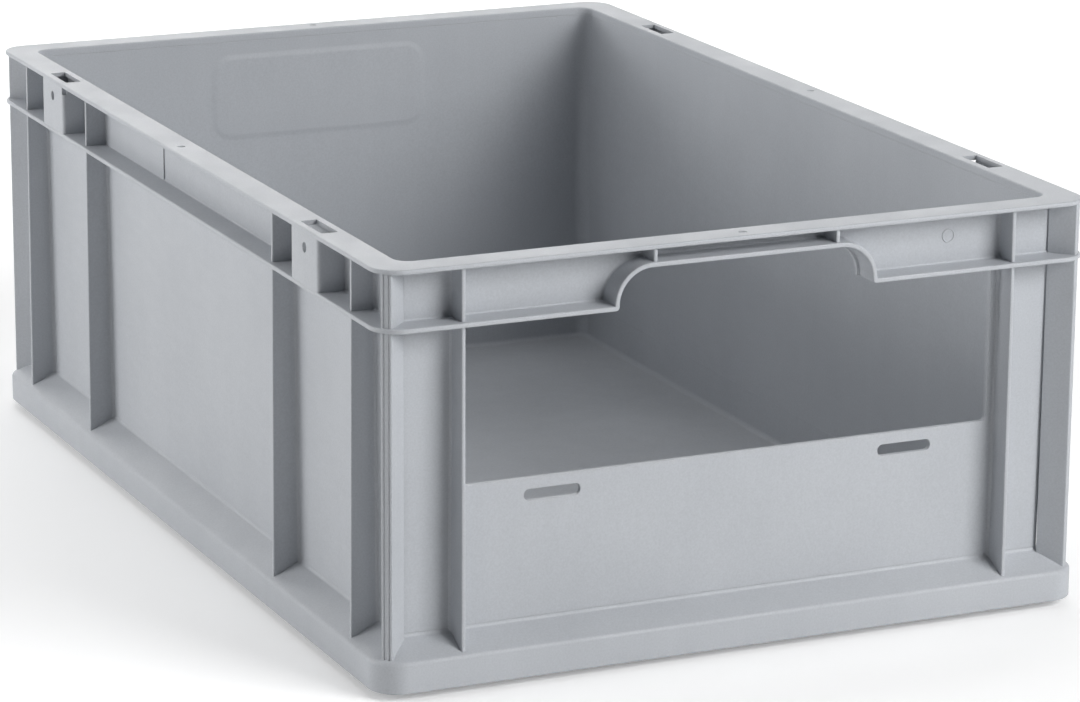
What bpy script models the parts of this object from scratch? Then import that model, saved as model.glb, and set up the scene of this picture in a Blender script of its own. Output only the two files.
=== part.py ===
"""Stacking crate of the 600 x 400 mm module, with a picking opening in one short side.

Metres, +Z up. The origin is the middle of the footprint, on the ground. X runs across the
crate, Y runs along it, and the picking side faces -Y. The crate is one moulding: each region
of it is a solid of its own, with a hairline gap to its neighbours.
"""

import math

import bmesh
import bpy
from mathutils import Matrix, Vector

MM = 0.001
GAP = 0.3 * MM

# Overall size of the crate
LENGTH = 600 * MM
WIDTH = 400 * MM
HEIGHT = 220 * MM

# Clear space inside the walls
INNER_HALF_X = 182 * MM
INNER_HALF_Y = 282 * MM
INNER_RADIUS = 8 * MM
WALL = 2.5 * MM
OUTER_WALL_X = INNER_HALF_X + WALL
OUTER_WALL_Y = INNER_HALF_Y + WALL
WALL_CORNER_RADIUS = 3 * MM
CORNER_ARM = 9 * MM

# Base
FOOT_HEIGHT = 4 * MM
FOOT_CLEARANCE = 1.5 * MM
FOOT_WIDTH = 10 * MM
FLOOR_THICKNESS = 2.5 * MM
SKIRT_TOP = 20 * MM
SKIRT_SLOPE = 0.5
SKIRT_RADIUS = 16 * MM
SKIRT_EDGE = 2.4 * MM
SKIRT_REACH = WIDTH / 2 - OUTER_WALL_X
SKIRT_STRETCH = (LENGTH / 2 - OUTER_WALL_Y) / SKIRT_REACH
BASE_CHAMFER = 0.8 * MM
WALL_FOOT = SKIRT_TOP + GAP

# Rim and the rail below it
RIM_THICKNESS = 2.5 * MM
RIM_INSET = 1 * MM
RIM_RADIUS = 15 * MM
RIM_HALF_X = WIDTH / 2 - RIM_INSET
RIM_HALF_Y = LENGTH / 2 - RIM_INSET
RIM_BOTTOM = HEIGHT - RIM_THICKNESS
WALL_HEAD = RIM_BOTTOM - GAP
RAIL_BOTTOM = 188 * MM
RAIL_THICKNESS = 2.5 * MM
RAIL_TOP = RAIL_BOTTOM + RAIL_THICKNESS

# Ribs and corner fins
RIB_THICKNESS = 2.2 * MM
RIB_SETBACK = 2.5 * MM
SIDE_RIB_PLACES = (147.5 * MM, 255 * MM)
END_RIB_PLACE = 154 * MM
FIN_THICKNESS = 6 * MM
FIN_LENGTH = 13 * MM
FIN_GROOVE = 0.8 * MM
FIN_GROOVE_PLACE = 1.35 * MM

# Latch pockets and the slots in the rim above them
POCKET_PLACE = 199 * MM
POCKET_WIDTH = 36 * MM
POCKET_SKIN = 2 * MM
POCKET_HOLE_RADIUS = 2.7 * MM
POCKET_HOLE_HEIGHT = 210 * MM
RIM_SLOT_LENGTH = 29 * MM
RIM_SLOT_WIDTH = 9 * MM

# Picking opening and the two slots in its sill
OPENING_HALF = 148 * MM
SILL_TOP = 103 * MM
SILL_SLOT_PLACE = 100 * MM
SILL_SLOT_LENGTH = 31 * MM
SILL_SLOT_HEIGHT = 6 * MM
SILL_SLOT_CENTRE = 94 * MM

# Raised grip in the rail of each short side
GRIP_HALF = 71 * MM
GRIP_TOP = 208.5 * MM
GRIP_CORNER = 18 * MM
GRIP_SKIN = 2.5 * MM
GRIP_WEB_PLACE = 51 * MM

# Closed grip in the rear wall, as a shallow cup that bulges into the crate
CUP_HALF = 70 * MM
CUP_BOTTOM = 155 * MM
CUP_TOP = 207 * MM
CUP_RADIUS = 10 * MM
CUP_DEPTH = 3 * MM
CUP_SKIN = 2 * MM

# Plastic, light blue-grey and matt
PLASTIC_COLOUR = (0.48, 0.50, 0.53, 1.0)
PLASTIC_ROUGHNESS = 0.5

ARC_STEPS = 6
WELD_DISTANCE = 0.001 * MM
OVERRUN = 5 * MM


def clear_scene():
    """Remove everything in the file's scene."""
    for existing in list(bpy.data.objects):
        bpy.data.objects.remove(existing, do_unlink=True)


def new_collection(name):
    """A new collection under the scene."""
    collection = bpy.data.collections.new(name)
    bpy.context.scene.collection.children.link(collection)
    return collection


def plastic(name):
    """The crate's plastic, as a material of one piece."""
    material = bpy.data.materials.new(name + "_plastic")
    material.use_nodes = True
    shader = material.node_tree.nodes["Principled BSDF"]
    shader.inputs["Base Color"].default_value = PLASTIC_COLOUR
    shader.inputs["Roughness"].default_value = PLASTIC_ROUGHNESS
    shader.inputs["Metallic"].default_value = 0.0
    return material


def arc(centre, radii, start, end):
    """Points of an elliptic arc between two angles in degrees."""
    points = []
    for step in range(ARC_STEPS + 1):
        angle = math.radians(start + (end - start) * step / ARC_STEPS)
        x = centre[0] + radii[0] * math.cos(angle)
        y = centre[1] + radii[1] * math.sin(angle)
        points.append((x, y))
    return points


def rectangle(low, high):
    """Corners of a rectangle from its lowest and highest corners."""
    return [low, (high[0], low[1]), high, (low[0], high[1])]


def rounded_rectangle(low, high, radius):
    """Outline of a rectangle with four round corners."""
    left, bottom = low[0] + radius, low[1] + radius
    right, top = high[0] - radius, high[1] - radius
    round_corner = (radius, radius)
    outline = arc((right, bottom), round_corner, -90, 0)
    outline += arc((right, top), round_corner, 0, 90)
    outline += arc((left, top), round_corner, 90, 180)
    outline += arc((left, bottom), round_corner, 180, 270)
    return outline


def centred_outline(half_x, half_y, radius):
    """Rounded rectangle about the origin."""
    return rounded_rectangle((-half_x, -half_y), (half_x, half_y), radius)


def circle(centre, radius):
    """Outline of a circle."""
    both = (radius, radius)
    return arc(centre, both, 0, 180)[:-1] + arc(centre, both, 180, 360)[:-1]


def turned(axis):
    """Rotation that lays an outline across an axis.

    An outline is drawn in XY for the Z axis, in YZ for the X axis and in XZ for the Y axis.
    """
    if axis == "X":
        return Matrix(((0, 0, 1), (1, 0, 0), (0, 1, 0)))
    if axis == "Y":
        return Matrix(((1, 0, 0), (0, 0, -1), (0, 1, 0)))
    return Matrix.Identity(3)


def extruded(name, loops, low, high, axis, collection):
    """A flat outline, with any holes as further loops, made solid from low to high."""
    curve = bpy.data.curves.new(name, "CURVE")
    curve.dimensions = "2D"
    curve.fill_mode = "BOTH"
    curve.extrude = (high - low) / 2
    for loop in loops:
        spline = curve.splines.new("POLY")
        spline.points.add(len(loop) - 1)
        spline.use_cyclic_u = True
        for point, place in zip(spline.points, loop):
            point.co = (place[0], place[1], 0.0, 1.0)
    source = bpy.data.objects.new(name + "_outline", curve)
    rotation = turned(axis)
    middle = rotation @ Vector((0.0, 0.0, (low + high) / 2))
    if axis == "Y":
        middle = -middle
    source.matrix_world = Matrix.Translation(middle) @ rotation.to_4x4()
    collection.objects.link(source)
    return curve_to_mesh(name, source, collection)


def curve_to_mesh(name, source, collection):
    """Replace a curve object by a welded mesh object in the same place."""
    bpy.context.view_layer.update()
    evaluated = source.evaluated_get(bpy.context.evaluated_depsgraph_get())
    mesh = bpy.data.meshes.new_from_object(evaluated)
    mesh.name = name
    shape = bmesh.new()
    shape.from_mesh(mesh)
    bmesh.ops.remove_doubles(shape, verts=shape.verts, dist=WELD_DISTANCE)
    bmesh.ops.recalc_face_normals(shape, faces=shape.faces)
    shape.to_mesh(mesh)
    shape.free()
    piece = bpy.data.objects.new(name, mesh)
    piece.matrix_world = source.matrix_world.copy()
    collection.objects.link(piece)
    bpy.data.objects.remove(source, do_unlink=True)
    return piece


def lofted(name, rings, collection):
    """A closed band of faces through rings of equal point count."""
    shape = bmesh.new()
    loops = [[shape.verts.new(point) for point in ring] for ring in rings]
    for first, second in zip(loops, loops[1:] + loops[:1]):
        for index in range(len(first)):
            after = (index + 1) % len(first)
            shape.faces.new((first[index], first[after], second[after], second[index]))
    bmesh.ops.triangulate(shape, faces=shape.faces[:])
    bmesh.ops.recalc_face_normals(shape, faces=shape.faces)
    mesh = bpy.data.meshes.new(name)
    shape.to_mesh(mesh)
    shape.free()
    piece = bpy.data.objects.new(name, mesh)
    collection.objects.link(piece)
    return piece


def finished(piece):
    """Give a piece its material."""
    piece.data.materials.clear()
    piece.data.materials.append(plastic(piece.name))
    return piece


def solid(name, loops, low, high, axis):
    """A piece of the crate from one flat outline."""
    return finished(extruded(name, loops, low, high, axis, PARTS))


def cut_out(piece, cutter):
    """Cut another object out of a piece and keep that object hidden."""
    cutter.hide_render = True
    cutter.display_type = "WIRE"
    cut = piece.modifiers.new(cutter.name, "BOOLEAN")
    cut.operation = "DIFFERENCE"
    cut.solver = "EXACT"
    cut.object = cutter


def carve(piece, name, loops, low, high, axis):
    """Cut an extruded outline out of a piece."""
    cut_out(piece, extruded(name, loops, low, high, axis, CUTTERS))


def side_name(sign):
    """Name of a long side."""
    return "left" if sign < 0 else "right"


def end_name(sign):
    """Name of a short side."""
    return "front" if sign < 0 else "rear"


def ordered(first, second):
    """Two numbers, lowest first."""
    return min(first, second), max(first, second)


def slope_height(out):
    """Height of the skirt's sloping top at a distance outside the walls."""
    return SKIRT_TOP + SKIRT_SLOPE * (SKIRT_REACH - out)


def base_ring(out, height):
    """Ring at a distance outside the long walls, rounder the farther out it is.

    The skirt reaches farther out from the short walls, in a fixed ratio.
    """
    outline = centred_outline(INNER_HALF_X, INNER_HALF_Y, INNER_RADIUS)
    if out >= 0:
        radius = WALL_CORNER_RADIUS + (SKIRT_RADIUS - WALL_CORNER_RADIUS) * out / SKIRT_REACH
        half_y = OUTER_WALL_Y + out * SKIRT_STRETCH
        outline = centred_outline(OUTER_WALL_X + out, half_y, radius)
    return [(x, y, height) for x, y in outline]


def skirt_profile():
    """Section of the skirt, as distances outside the walls and heights."""
    turn = 90 - math.degrees(math.atan(SKIRT_SLOPE))
    drop = SKIRT_EDGE * math.tan(math.radians(turn / 2))
    centre = (SKIRT_REACH - SKIRT_EDGE, SKIRT_TOP - drop)
    profile = [(-WALL, FOOT_HEIGHT), (-WALL, SKIRT_TOP), (GAP, SKIRT_TOP)]
    profile += [(GAP, slope_height(GAP))]
    profile += arc(centre, (SKIRT_EDGE, SKIRT_EDGE), turn, 0)
    profile += [(SKIRT_REACH, FOOT_HEIGHT + BASE_CHAMFER)]
    profile += [(SKIRT_REACH - BASE_CHAMFER, FOOT_HEIGHT)]
    return profile


def skirt_clearance():
    """Solid that cuts ribs and fins off just above the skirt's slope."""
    lift = GAP * math.hypot(1, SKIRT_SLOPE)
    far = SKIRT_REACH + OVERRUN
    rings = [
        base_ring(0, FOOT_HEIGHT),
        base_ring(0, slope_height(0) + lift),
        base_ring(far, slope_height(far) + lift),
        base_ring(far, FOOT_HEIGHT),
    ]
    return lofted("skirt_clearance", rings, CUTTERS)


def build_base():
    """Floor, inset stacking foot and flared skirt."""
    floor_outline = centred_outline(INNER_HALF_X - GAP, INNER_HALF_Y - GAP, INNER_RADIUS - GAP)
    solid("floor_panel", [floor_outline], FOOT_HEIGHT, FOOT_HEIGHT + FLOOR_THICKNESS, "Z")
    foot_x = INNER_HALF_X - FOOT_CLEARANCE
    foot_y = INNER_HALF_Y - FOOT_CLEARANCE
    foot_outer = centred_outline(foot_x, foot_y, INNER_RADIUS)
    foot_inner = centred_outline(foot_x - FOOT_WIDTH, foot_y - FOOT_WIDTH, INNER_RADIUS)
    solid("stacking_foot", [foot_outer, foot_inner], 0.0, FOOT_HEIGHT - GAP, "Z")
    rings = [base_ring(out, height) for out, height in skirt_profile()]
    finished(lofted("base_skirt", rings, PARTS))


def build_side_walls():
    """The two plain long walls."""
    half_length = INNER_HALF_Y - CORNER_ARM
    for sign in (-1, 1):
        low, high = ordered(sign * INNER_HALF_X, sign * OUTER_WALL_X)
        outline = rectangle((-half_length, WALL_FOOT), (half_length, WALL_HEAD))
        solid("wall_" + side_name(sign), [outline], low, high, "X")


def corner_outline(sign_x, sign_y):
    """Plan of one wall corner: square outside, round inside."""
    inner = (INNER_RADIUS, INNER_RADIUS)
    outer = (WALL_CORNER_RADIUS, WALL_CORNER_RADIUS)
    end_x = INNER_HALF_X - CORNER_ARM + GAP
    end_y = INNER_HALF_Y - CORNER_ARM + GAP
    outline = [(OUTER_WALL_X, end_y)]
    outer_centre = (OUTER_WALL_X - WALL_CORNER_RADIUS, OUTER_WALL_Y - WALL_CORNER_RADIUS)
    outline += arc(outer_centre, outer, 0, 90)
    outline += [(end_x, OUTER_WALL_Y), (end_x, INNER_HALF_Y)]
    inner_centre = (INNER_HALF_X - INNER_RADIUS, INNER_HALF_Y - INNER_RADIUS)
    outline += arc(inner_centre, inner, 90, 0)
    outline += [(INNER_HALF_X, end_y)]
    return [(sign_x * x, sign_y * y) for x, y in outline]


def across_diagonal(sign_x, sign_y, along, side):
    """Point on or beside a corner's diagonal, measured from the wall's outer corner."""
    x = OUTER_WALL_X + (along + side) / math.sqrt(2)
    y = OUTER_WALL_Y + (along - side) / math.sqrt(2)
    return sign_x * x, sign_y * y


def fin_outline(sign_x, sign_y):
    """Plan of one corner fin, with two fine grooves down its outer face."""
    half = FIN_THICKNESS / 2
    profile = [(GAP, -half), (FIN_LENGTH, -half)]
    for place in (-FIN_GROOVE_PLACE, FIN_GROOVE_PLACE):
        profile.append((FIN_LENGTH, place - FIN_GROOVE / 2))
        profile.append((FIN_LENGTH - FIN_GROOVE, place))
        profile.append((FIN_LENGTH, place + FIN_GROOVE / 2))
    profile += [(FIN_LENGTH, half), (GAP, half)]
    return [across_diagonal(sign_x, sign_y, along, side) for along, side in profile]


def build_corners():
    """Wall corners and the diagonal fin outside each one."""
    for sign_y in (-1, 1):
        for sign_x in (-1, 1):
            place = end_name(sign_y) + "_" + side_name(sign_x)
            outline = corner_outline(sign_x, sign_y)
            solid("corner_wall_" + place, [outline], WALL_FOOT, WALL_HEAD, "Z")
            outline = fin_outline(sign_x, sign_y)
            fin = solid("corner_fin_" + place, [outline], WALL_FOOT, WALL_HEAD, "Z")
            cut_out(fin, SKIRT_CLEARANCE)


def build_picking_side():
    """Front wall around the picking opening: sill, two posts and a header."""
    low, high = -OUTER_WALL_Y, -INNER_HALF_Y
    half_width = INNER_HALF_X - CORNER_ARM
    outline = rectangle((-half_width, WALL_FOOT), (half_width, SILL_TOP))
    slots = []
    for sign in (-1, 1):
        middle = sign * SILL_SLOT_PLACE
        slot_low = (middle - SILL_SLOT_LENGTH / 2, SILL_SLOT_CENTRE - SILL_SLOT_HEIGHT / 2)
        slot_high = (middle + SILL_SLOT_LENGTH / 2, SILL_SLOT_CENTRE + SILL_SLOT_HEIGHT / 2)
        slots.append(rounded_rectangle(slot_low, slot_high, SILL_SLOT_HEIGHT / 2 - GAP))
    solid("front_sill", [outline] + slots, low, high, "Y")
    for sign in (-1, 1):
        left, right = ordered(sign * OPENING_HALF, sign * half_width)
        outline = rectangle((left, SILL_TOP + GAP), (right, WALL_HEAD))
        solid("front_post_" + side_name(sign), [outline], low, high, "Y")
    edge = OPENING_HALF - GAP
    outline = [(-edge, WALL_HEAD), (-edge, RAIL_BOTTOM)] + grip_path(0.0)
    outline += [(edge, RAIL_BOTTOM), (edge, WALL_HEAD)]
    solid("front_header", [outline], low, high, "Y")


def grip_path(skin):
    """Line of the raised grip from left to right, moved outward by skin."""
    corner = (GRIP_CORNER + skin, GRIP_TOP - RAIL_TOP + skin)
    middle = GRIP_HALF - GRIP_CORNER
    path = [(-GRIP_HALF - skin, RAIL_BOTTOM)]
    path += arc((-middle, RAIL_TOP), corner, 180, 90)
    path += arc((middle, RAIL_TOP), corner, 90, 0)
    path += [(GRIP_HALF + skin, RAIL_BOTTOM)]
    return path


def build_grips():
    """Raised grip band on each short side and the webs that tie it to the rim."""
    outline = grip_path(GRIP_SKIN) + grip_path(0.0)[::-1]
    for sign in (-1, 1):
        low, high = ordered(sign * (OUTER_WALL_Y + GAP), sign * RIM_HALF_Y)
        solid("grip_arch_" + end_name(sign), [outline], low, high, "Y")
        low, high = ordered(sign * (OUTER_WALL_Y + GAP), sign * (RIM_HALF_Y - RIB_SETBACK))
        for side in (-1, 1):
            left = side * GRIP_WEB_PLACE - RIB_THICKNESS / 2
            right = side * GRIP_WEB_PLACE + RIB_THICKNESS / 2
            web = rectangle((left, GRIP_TOP + GRIP_SKIN + GAP), (right, WALL_HEAD))
            name = "grip_web_" + end_name(sign) + "_" + side_name(side)
            solid(name, [web], low, high, "Y")


def build_rear_wall():
    """Rear wall with a window for the closed grip, and the cup that fills it."""
    half_width = INNER_HALF_X - CORNER_ARM
    outline = rectangle((-half_width, WALL_FOOT), (half_width, WALL_HEAD))
    window = rounded_rectangle((-CUP_HALF, CUP_BOTTOM), (CUP_HALF, CUP_TOP), CUP_RADIUS)
    solid("wall_rear", [outline, window], INNER_HALF_Y, OUTER_WALL_Y, "Y")
    low = (-CUP_HALF + GAP, CUP_BOTTOM + GAP)
    high = (CUP_HALF - GAP, CUP_TOP - GAP)
    cup_outline = rounded_rectangle(low, high, CUP_RADIUS - GAP)
    cup = solid("grip_cup", [cup_outline], INNER_HALF_Y - CUP_DEPTH, OUTER_WALL_Y, "Y")
    low = (low[0] + CUP_SKIN, low[1] + CUP_SKIN)
    high = (high[0] - CUP_SKIN, high[1] - CUP_SKIN)
    hollow = rounded_rectangle(low, high, CUP_RADIUS - CUP_SKIN)
    hollow_start = INNER_HALF_Y - CUP_DEPTH + CUP_SKIN
    carve(cup, "cup_hollow", [hollow], hollow_start, OUTER_WALL_Y + OVERRUN, "Y")


def build_ribs():
    """Upright ribs: four on each long side and two on each short side."""
    outer_x = RIM_HALF_X - RIB_SETBACK
    outer_y = RIM_HALF_Y - RIB_SETBACK
    half = RIB_THICKNESS / 2
    for sign_x in (-1, 1):
        for sign_y in (-1, 1):
            for number, place in enumerate(SIDE_RIB_PLACES, start=1):
                left, right = ordered(sign_x * (OUTER_WALL_X + GAP), sign_x * outer_x)
                low = (left, sign_y * place - half)
                high = (right, sign_y * place + half)
                name = f"side_rib_{side_name(sign_x)}_{end_name(sign_y)}_{number}"
                rib = solid(name, [rectangle(low, high)], WALL_FOOT, WALL_HEAD, "Z")
                cut_out(rib, SKIRT_CLEARANCE)
            bottom, top = ordered(sign_y * (OUTER_WALL_Y + GAP), sign_y * outer_y)
            low = (sign_x * END_RIB_PLACE - half, bottom)
            high = (sign_x * END_RIB_PLACE + half, top)
            name = f"end_rib_{end_name(sign_y)}_{side_name(sign_x)}"
            rib = solid(name, [rectangle(low, high)], WALL_FOOT, WALL_HEAD, "Z")
            cut_out(rib, SKIRT_CLEARANCE)


def rail_half_outline(sign):
    """Plan of the rail along one long side and round to the grip at each end."""
    end = GRIP_HALF + GRIP_SKIN + GAP
    corner = (RIM_RADIUS, RIM_RADIUS)
    centre_x = RIM_HALF_X - RIM_RADIUS
    centre_y = RIM_HALF_Y - RIM_RADIUS
    wall_x = OUTER_WALL_X + GAP
    wall_y = OUTER_WALL_Y + GAP
    outline = [(end, -RIM_HALF_Y)]
    outline += arc((centre_x, -centre_y), corner, -90, 0)
    outline += arc((centre_x, centre_y), corner, 0, 90)
    outline += [(end, RIM_HALF_Y), (end, wall_y), (wall_x, wall_y)]
    outline += [(wall_x, -wall_y), (end, -wall_y)]
    return [(sign * x, y) for x, y in outline]


def notch_rail(rail, sign):
    """Leave room in a rail for its ribs and corner fins."""
    half = RIB_THICKNESS / 2 + GAP
    outer_x = RIM_HALF_X - RIB_SETBACK + GAP
    outer_y = RIM_HALF_Y - RIB_SETBACK + GAP
    bottom, top = RAIL_BOTTOM - OVERRUN, RAIL_TOP + OVERRUN
    for sign_y in (-1, 1):
        place_name = side_name(sign) + "_" + end_name(sign_y)
        for number, place in enumerate(SIDE_RIB_PLACES, start=1):
            left, right = ordered(sign * (OUTER_WALL_X - GAP), sign * outer_x)
            notch = rectangle((left, sign_y * place - half), (right, sign_y * place + half))
            carve(rail, f"notch_{place_name}_{number}", [notch], bottom, top, "Z")
        low, high = ordered(sign_y * (OUTER_WALL_Y - GAP), sign_y * outer_y)
        middle = sign * END_RIB_PLACE
        notch = rectangle((middle - half, low), (middle + half, high))
        carve(rail, f"notch_{place_name}_end", [notch], bottom, top, "Z")
        reach = FIN_LENGTH + GAP
        side = FIN_THICKNESS / 2 + GAP
        corners = [(-side, -side), (reach, -side), (reach, side), (-side, side)]
        notch = [across_diagonal(sign, sign_y, along, across) for along, across in corners]
        carve(rail, f"notch_{place_name}_fin", [notch], bottom, top, "Z")


def build_rails():
    """The rail below the rim, in two halves that end at the grips."""
    for sign in (-1, 1):
        outline = rail_half_outline(sign)
        rail = solid("rail_" + side_name(sign), [outline], RAIL_BOTTOM, RAIL_TOP, "Z")
        notch_rail(rail, sign)


def pocket_outline(sign_x, sign_y):
    """Plan of one latch pocket: a face plate with a web to the wall at its front end.

    Rear pockets have a second web, at the rear end. Front ones are open there.
    """
    outer = RIM_HALF_X
    inner = OUTER_WALL_X + GAP
    half = POCKET_WIDTH / 2
    outline = [(inner, -half), (outer, -half), (outer, half)]
    if sign_y > 0:
        outline += [(inner, half), (inner, half - POCKET_SKIN)]
        outline += [(outer - POCKET_SKIN, half - POCKET_SKIN)]
    else:
        outline += [(outer - POCKET_SKIN, half)]
    outline += [(outer - POCKET_SKIN, POCKET_SKIN - half), (inner, POCKET_SKIN - half)]
    return [(sign_x * x, sign_y * POCKET_PLACE + y) for x, y in outline]


def build_pockets():
    """Four latch pockets between the rail and the rim."""
    for sign_x in (-1, 1):
        for sign_y in (-1, 1):
            name = f"latch_pocket_{end_name(sign_y)}_{side_name(sign_x)}"
            outline = pocket_outline(sign_x, sign_y)
            pocket = solid(name, [outline], RAIL_TOP + GAP, WALL_HEAD, "Z")
            centre = (sign_y * POCKET_PLACE, POCKET_HOLE_HEIGHT)
            hole = circle(centre, POCKET_HOLE_RADIUS)
            face = sign_x * (RIM_HALF_X - POCKET_SKIN / 2)
            carve(pocket, name + "_hole", [hole], face - OVERRUN, face + OVERRUN, "X")


def build_rim():
    """Flat rim all round, with a slot above each latch pocket."""
    outer = centred_outline(RIM_HALF_X, RIM_HALF_Y, RIM_RADIUS)
    inner = centred_outline(INNER_HALF_X, INNER_HALF_Y, INNER_RADIUS)
    loops = [outer, inner]
    middle_x = (OUTER_WALL_X + RIM_HALF_X - POCKET_SKIN) / 2
    half = (RIM_SLOT_WIDTH / 2, RIM_SLOT_LENGTH / 2)
    for sign_x in (-1, 1):
        for sign_y in (-1, 1):
            x, y = sign_x * middle_x, sign_y * POCKET_PLACE
            loops.append(rectangle((x - half[0], y - half[1]), (x + half[0], y + half[1])))
    solid("rim_flange", loops, RIM_BOTTOM, HEIGHT, "Z")


clear_scene()
PARTS = new_collection("stacking_crate")
CUTTERS = new_collection("cutters")
SKIRT_CLEARANCE = skirt_clearance()
build_base()
build_side_walls()
build_corners()
build_picking_side()
build_rear_wall()
build_ribs()
build_rails()
build_grips()
build_pockets()
build_rim()
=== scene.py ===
"""Looks of the stacking crate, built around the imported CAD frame.

The crate is one moulding. Its visible surface is built here from a few closed lofts, sweeps
and extruded plans that run into one another without a gap. Places come from the CAD nodes'
boxes, and everything rides on the one rigid body, root.
"""

import math

import bmesh
import bpy
from mathutils import Matrix, Vector


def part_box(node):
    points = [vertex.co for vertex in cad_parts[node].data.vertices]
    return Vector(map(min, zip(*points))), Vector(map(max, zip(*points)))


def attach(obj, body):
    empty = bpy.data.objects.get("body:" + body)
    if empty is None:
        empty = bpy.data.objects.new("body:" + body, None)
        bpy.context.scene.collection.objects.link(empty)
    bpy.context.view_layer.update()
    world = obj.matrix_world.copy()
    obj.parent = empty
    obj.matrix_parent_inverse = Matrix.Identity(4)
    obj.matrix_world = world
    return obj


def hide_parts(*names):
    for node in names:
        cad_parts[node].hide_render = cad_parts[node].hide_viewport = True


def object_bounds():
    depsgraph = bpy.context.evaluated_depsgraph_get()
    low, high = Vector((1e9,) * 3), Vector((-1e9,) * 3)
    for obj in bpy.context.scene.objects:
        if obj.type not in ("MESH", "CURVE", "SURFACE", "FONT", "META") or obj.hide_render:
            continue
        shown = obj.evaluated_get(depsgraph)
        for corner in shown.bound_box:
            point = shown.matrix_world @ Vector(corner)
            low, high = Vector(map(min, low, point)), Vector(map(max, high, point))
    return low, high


MM = 0.001
BODY = "root"

# How finely round shapes are drawn
CORNER_STEPS = 10
EDGE_STEPS = 3
CURVE_STEPS = 16
HOLE_STEPS = 24
WELD_DISTANCE = 0.001 * MM
SHARP_ANGLE = math.radians(35.0)

# Roundings and fillets of the moulding
FLOOR_FILLET = 3 * MM
SKIRT_FILLET = 2 * MM
SKIRT_EDGE = 2.6 * MM
BOTTOM_EDGE = 0.8 * MM
RIM_EDGE = 0.9 * MM
RIM_ROOT_FILLET = 1.2 * MM
RAIL_EDGE = 0.7 * MM
RAIL_FILLET = 0.9 * MM
RIB_EDGE = 0.7 * MM
RIB_FILLET = 1.3 * MM
POCKET_EDGE = 2.2 * MM
BURY = 0.6 * MM
SEAM_ABOVE_CREST = 2.3 * MM
SEAM_BELOW_RIM = 2 * MM

# Details that are finer than the CAD solids
WALL_DRAFT = 1.3 * MM
RIB_FLARE = 1.0 * MM
WEB_FORWARD = 1.2 * MM
ARCH_FOOT = (2.0 * MM, 0.4 * MM)
FACE_SETBACK = 0.25 * MM
INNER_EDGE = 0.3 * MM
NICK = (2 * MM, 1.6 * MM, 4 * MM)
OPENING_CORNER = 2.5 * MM
WINDOW_LIP = 1.5 * MM
BULGE_STEPS = 8
BULGE_SLOPE = 4.5 * MM
BULGE_DEPTH = 0.5 * MM
BULGE_RADIUS = 14 * MM
BULGE_MARGIN = 1.5 * MM
BULGE_OVERLAP = 1.5 * MM
DIMPLE_RADIUS = 2.2 * MM
DIMPLE_DEPTH = 0.5 * MM
MARK_RADIUS = 3.4 * MM
MARK_TUBE = 0.35 * MM
MARK_FLATNESS = 0.6
MARK_STEP = 45
MARK_PLACE = (122 * MM, 205 * MM)
LABEL_STEP = 0.5 * MM
LABEL_START = 48 * MM
LABEL_BURY = 1 * MM
LABEL_OVERLAP = (1 * MM, 0.8 * MM)
OVERRUN = 6 * MM

# Plastic: noises as (features per metre, detail), bumps as (strength, distance)
CLOUD_NOISE = (9.0, 3.0)
FLOW_NOISE = (14.0, 2.0)
GRAIN_NOISE = (1000.0, 3.0)
SCUFF_NOISE = (60.0, 5.0)
EVEN = (1, 1, 1)
FLOW_STRETCH = (6, 6, 0.7)
SCUFF_STRETCH = (1, 1, 3)
NOISE_SPAN = (0.3, 0.7)
CLOUD_SHARE = 0.8
SPECKLE = 0.05
EDGE_REACH = 0.6 * MM
EDGE_SAMPLES = 4
EDGE_SPAN = (0.995, 0.80)
# Painted highlight: how far edges are mixed towards the lighter edge tone
EDGE_HIGHLIGHT = 0.35
EDGE_POLISH = 0.1
ROUGHNESS = (0.42, 0.56)
WAVE_BUMP = (0.25, 0.35 * MM)
GRAIN_BUMP = (0.22, 0.08 * MM)
SPECULAR = 0.42
SHEEN = 0.04
DARK_TONE = (0.455, 0.475, 0.505, 1.0)
LIGHT_TONE = (0.505, 0.525, 0.555, 1.0)
# Lighter tone of the painted edge highlight
EDGE_HIGHLIGHT_TONE = (0.66, 0.68, 0.71, 1.0)

# Studio: name, bearing from the front, elevation, size in metres, watts
LIGHTS = (
    ("front_key", 30, 30, (1.6, 1.4), 61.0),
    ("front_low", 33, 9, (1.8, 0.9), 10.0),
    ("left_key", -120, 10, (1.6, 0.9), 37.0),
    ("left_high", -100, 30, (1.6, 1.4), 17.0),
    ("rear_low", 180, 18, (2.4, 0.8), 21.0),
    ("rear_right", 140, 18, (1.8, 0.8), 12.5),
    ("rear_high", 180, 40, (2.0, 1.4), 16.0),
    ("overhead", 0, 90, (2.0, 2.0), 18.5),
)
LIGHT_DISTANCE = 3.0
LIGHT_AIM_HEIGHT = 0.1
WORLD_STRENGTH = 0.01
FLOOR_SIZE = 30.0
FLOOR_TONE = (0.93, 0.93, 0.93, 1.0)
FLOOR_LIFT = 0.25
FLOOR_ROUGHNESS = 0.9
FLOOR_SPECULAR = 0.1

# Camera, as an orbit around the middle of the crate
CAMERA_AZIMUTH = -24.51
CAMERA_ELEVATION = 15.22
CAMERA_ROLL = 0.41
CAMERA_DISTANCE = 2.494
CAMERA_SHIFT = (19.9 * MM, -23.9 * MM)
CAMERA_LENS = 147.4
SENSOR_WIDTH = 36.0

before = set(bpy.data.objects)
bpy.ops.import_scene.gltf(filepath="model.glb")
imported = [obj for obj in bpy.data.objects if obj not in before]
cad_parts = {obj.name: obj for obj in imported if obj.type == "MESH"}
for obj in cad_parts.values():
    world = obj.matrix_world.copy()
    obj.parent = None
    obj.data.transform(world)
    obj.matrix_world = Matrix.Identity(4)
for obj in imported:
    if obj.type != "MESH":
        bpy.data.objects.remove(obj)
cad_low, cad_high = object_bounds()

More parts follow.
